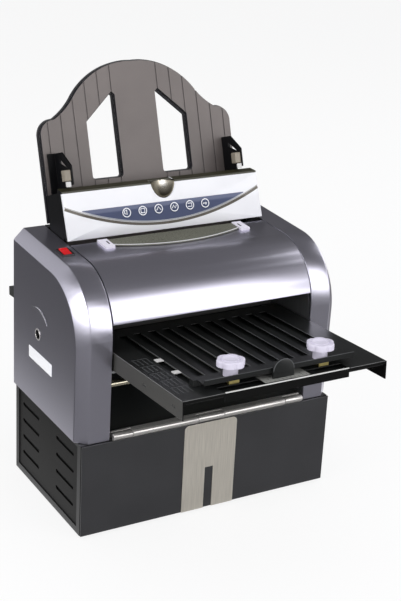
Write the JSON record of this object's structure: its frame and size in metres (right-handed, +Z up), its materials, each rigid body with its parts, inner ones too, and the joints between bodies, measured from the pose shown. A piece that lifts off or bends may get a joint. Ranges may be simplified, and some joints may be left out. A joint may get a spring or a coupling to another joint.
{
  "type": "paper folding machine",
  "caption": "Desk-top machine that feeds paper from a tilted tray through fold rollers and two adjustable fold plates, and delivers it folded under a hinged front flap.",
  "frame": {"origin": "middle of the machine's outline, on the surface it stands on", "axes": "+X to the machine's right as its user faces it, +Y away from the user, +Z up"},
  "size_m": [0.337, 0.455, 0.4915],
  "materials": {
    "base_steel": "satin",
    "cover_plastic": "metallic satin",
    "black_sheet": "satin",
    "bright_steel": "ground",
    "stainless": "brushed",
    "chrome": "polished",
    "white_plastic": "satin",
    "grey_plastic": "fine texture",
    "black_plastic": "satin",
    "blue_film": "satin film",
    "lavender_plastic": "satin",
    "smoked_plastic": "translucent smoked",
    "brass": "sawn",
    "rubber": "matt",
    "roller_rubber": "ground",
    "red_plastic": "gloss",
    "nylon": "moulded",
    "motor_can": "satin"
  },
  "bodies": {
    "machine": {"base_housing": "base_steel", "bearing_bushes": "brass", "control_overlay": "blue_film", "cover_screws": "bright_steel", "drive_motor": "motor_can", "exit_chute": "black_sheet", "feed_floor": "black_sheet", "frame_plate_left": "black_sheet", "frame_plate_right": "black_sheet", "hinge_fixed_leaf": "chrome", "hinge_pin": "bright_steel", "hopper_core": "black_plastic", "hopper_panel": "white_plastic", "hopper_sides": "black_sheet", "mains_inlet": "black_plastic", "rear_cover_lower": "black_sheet", "rear_cover_upper": "black_sheet", "rubber_feet": "rubber", "side_cover_left": "cover_plastic", "side_cover_right": "cover_plastic", "side_panel_left": "base_steel", "side_panel_right": "base_steel", "switch_bezel": "white_plastic", "thumb_scoop": "stainless", "tie_rods": "bright_steel", "tray_plate": "grey_plastic"},
    "lid": {"middle_cover": "cover_plastic", "flap_clips": "white_plastic"},
    "label_flap_leaf": {"label_flap": "smoked_plastic"},
    "guide_left": {"side_guide_left": "black_sheet", "separator_block_left": "brass"},
    "guide_right": {"side_guide_right": "black_sheet", "separator_block_right": "brass"},
    "rocker": {"switch_rocker": "red_plastic"},
    "front_plate": {"front_plate_upper": "black_sheet", "front_plate_lower": "black_sheet"},
    "front_stop": {"front_stop_bar": "black_sheet", "front_clamp_nuts": "brass"},
    "knob_left": {"front_knob_left": "lavender_plastic"},
    "knob_right": {"front_knob_right": "lavender_plastic"},
    "rear_fold_plate": {"rear_plate": "black_sheet"},
    "rear_stop": {"rear_stop_bar": "black_sheet"},
    "knob_rear": {"rear_knob": "lavender_plastic"},
    "feed": {"feed_roller": "roller_rubber"},
    "idler": {"idler_gear": "nylon"},
    "jack": {"jack_gear": "nylon"},
    "pinion": {"motor_pinion": "bright_steel"},
    "flap": {"front_flap": "base_steel", "pull_plate": "stainless", "hinge_flap_leaf": "chrome"},
    "key_body_1": {"key_1": "white_plastic"},
    "key_body_2": {"key_2": "white_plastic"},
    "key_body_3": {"key_3": "white_plastic"},
    "key_body_4": {"key_4": "white_plastic"},
    "key_body_5": {"key_5": "white_plastic"},
    "key_body_6": {"key_6": "white_plastic"},
    "roller_1": {"fold_roller_1": "roller_rubber"},
    "roller_2": {"fold_roller_2": "roller_rubber"},
    "roller_3": {"fold_roller_3": "roller_rubber"},
    "roller_4": {"fold_roller_4": "roller_rubber"}
  },
  "joints": [
    {"name": "lid_open", "type": "hinge", "parent": "machine", "child": "lid", "pos_m": [0, 0.03582, 0.30261], "axis": [-1, 0, 0], "range_deg": [0, 60]},
    {"name": "label_flap_lift", "type": "hinge", "parent": "lid", "child": "label_flap_leaf", "pos_m": [0, 0.03817, 0.312], "axis": [-1, 0, 0], "range_deg": [0, 90]},
    {"name": "guide_left_slide", "type": "slide", "parent": "machine", "child": "guide_left", "axis": [1, 0, 0], "range_m": [-0.002, 0.05]},
    {"name": "guide_right_slide", "type": "slide", "parent": "machine", "child": "guide_right", "axis": [-1, 0, 0], "range_m": [-0.002, 0.05]},
    {"name": "rocker_tilt", "type": "hinge", "parent": "machine", "child": "rocker", "pos_m": [-0.1435, 0.02185, 0.30907], "axis": [-1, 0, 0], "range_deg": [0, 12]},
    {"name": "front_plate_slide", "type": "slide", "parent": "machine", "child": "front_plate", "axis": [0, -0.998, 0.0628], "range_m": [0, 0.1]},
    {"name": "front_stop_slide", "type": "slide", "parent": "front_plate", "child": "front_stop", "axis": [0, 0.998, -0.0628], "range_m": [0, 0.12]},
    {"name": "knob_left_turn", "type": "hinge", "parent": "front_stop", "child": "knob_left", "pos_m": [-0.0561, -0.19898, 0.25063], "axis": [0, 0.0628, 0.998], "continuous": true},
    {"name": "knob_right_turn", "type": "hinge", "parent": "front_stop", "child": "knob_right", "pos_m": [0.0561, -0.19898, 0.25063], "axis": [0, 0.0628, 0.998], "continuous": true},
    {"name": "rear_plate_slide", "type": "slide", "parent": "machine", "child": "rear_fold_plate", "axis": [0, 0.998, -0.0628], "range_m": [0, 0.1]},
    {"name": "rear_stop_slide", "type": "slide", "parent": "rear_fold_plate", "child": "rear_stop", "axis": [0, 0.998, -0.0628], "range_m": [-0.025, 0.035]},
    {"name": "knob_rear_turn", "type": "hinge", "parent": "rear_stop", "child": "knob_rear", "pos_m": [0, 0.15887, 0.22408], "axis": [0, 0.0628, 0.998], "continuous": true},
    {"name": "key_1_press", "type": "slide", "parent": "machine", "child": "key_body_1", "axis": [0, 0.9272, -0.3746], "range_m": [0, 0.0008], "stiffness_N_per_m": 600},
    {"name": "key_2_press", "type": "slide", "parent": "machine", "child": "key_body_2", "axis": [0, 0.9272, -0.3746], "range_m": [0, 0.0008], "stiffness_N_per_m": 600},
    {"name": "key_3_press", "type": "slide", "parent": "machine", "child": "key_body_3", "axis": [0, 0.9272, -0.3746], "range_m": [0, 0.0008], "stiffness_N_per_m": 600},
    {"name": "key_4_press", "type": "slide", "parent": "machine", "child": "key_body_4", "axis": [0, 0.9272, -0.3746], "range_m": [0, 0.0008], "stiffness_N_per_m": 600},
    {"name": "key_5_press", "type": "slide", "parent": "machine", "child": "key_body_5", "axis": [0, 0.9272, -0.3746], "range_m": [0, 0.0008], "stiffness_N_per_m": 600},
    {"name": "key_6_press", "type": "slide", "parent": "machine", "child": "key_body_6", "axis": [0, 0.9272, -0.3746], "range_m": [0, 0.0008], "stiffness_N_per_m": 600},
    {"name": "roller_1_spin", "type": "hinge", "parent": "machine", "child": "roller_1", "pos_m": [0, 0.01584, 0.22511], "axis": [1, 0, 0], "continuous": true},
    {"name": "roller_2_spin", "type": "hinge", "parent": "machine", "child": "roller_2", "pos_m": [0, 0.03922, 0.2088], "axis": [1, 0, 0], "continuous": true},
    {"name": "roller_3_spin", "type": "hinge", "parent": "machine", "child": "roller_3", "pos_m": [0, 0.01584, 0.19249], "axis": [1, 0, 0], "continuous": true},
    {"name": "roller_4_spin", "type": "hinge", "parent": "machine", "child": "roller_4", "pos_m": [0, 0.03872, 0.1755], "axis": [1, 0, 0], "continuous": true},
    {"name": "feed_spin", "type": "hinge", "parent": "machine", "child": "feed", "pos_m": [0, 0.02782, 0.286], "axis": [1, 0, 0], "continuous": true},
    {"name": "idler_spin", "type": "hinge", "parent": "machine", "child": "idler", "pos_m": [0, 0.01321, 0.25725], "axis": [1, 0, 0], "continuous": true},
    {"name": "jack_spin", "type": "hinge", "parent": "machine", "child": "jack", "pos_m": [0, 0.06339, 0.17744], "axis": [1, 0, 0], "continuous": true},
    {"name": "pinion_spin", "type": "hinge", "parent": "machine", "child": "pinion", "pos_m": [0, 0.08084, 0.14596], "axis": [1, 0, 0], "continuous": true},
    {"name": "flap_swing", "type": "hinge", "parent": "machine", "child": "flap", "pos_m": [0, -0.07378, 0.1213], "axis": [-1, 0, 0], "range_deg": [0, 90]}
  ],
  "couplings": [
    {"joint": "roller_1_spin", "follows": "roller_2_spin", "ratio": -1},
    {"joint": "roller_3_spin", "follows": "roller_2_spin", "ratio": -1},
    {"joint": "roller_4_spin", "follows": "roller_2_spin", "ratio": 1},
    {"joint": "idler_spin", "follows": "roller_2_spin", "ratio": 0.79167},
    {"joint": "feed_spin", "follows": "roller_2_spin", "ratio": -1},
    {"joint": "jack_spin", "follows": "roller_2_spin", "ratio": -1.3571},
    {"joint": "pinion_spin", "follows": "roller_2_spin", "ratio": 4.0714}
  ]
}
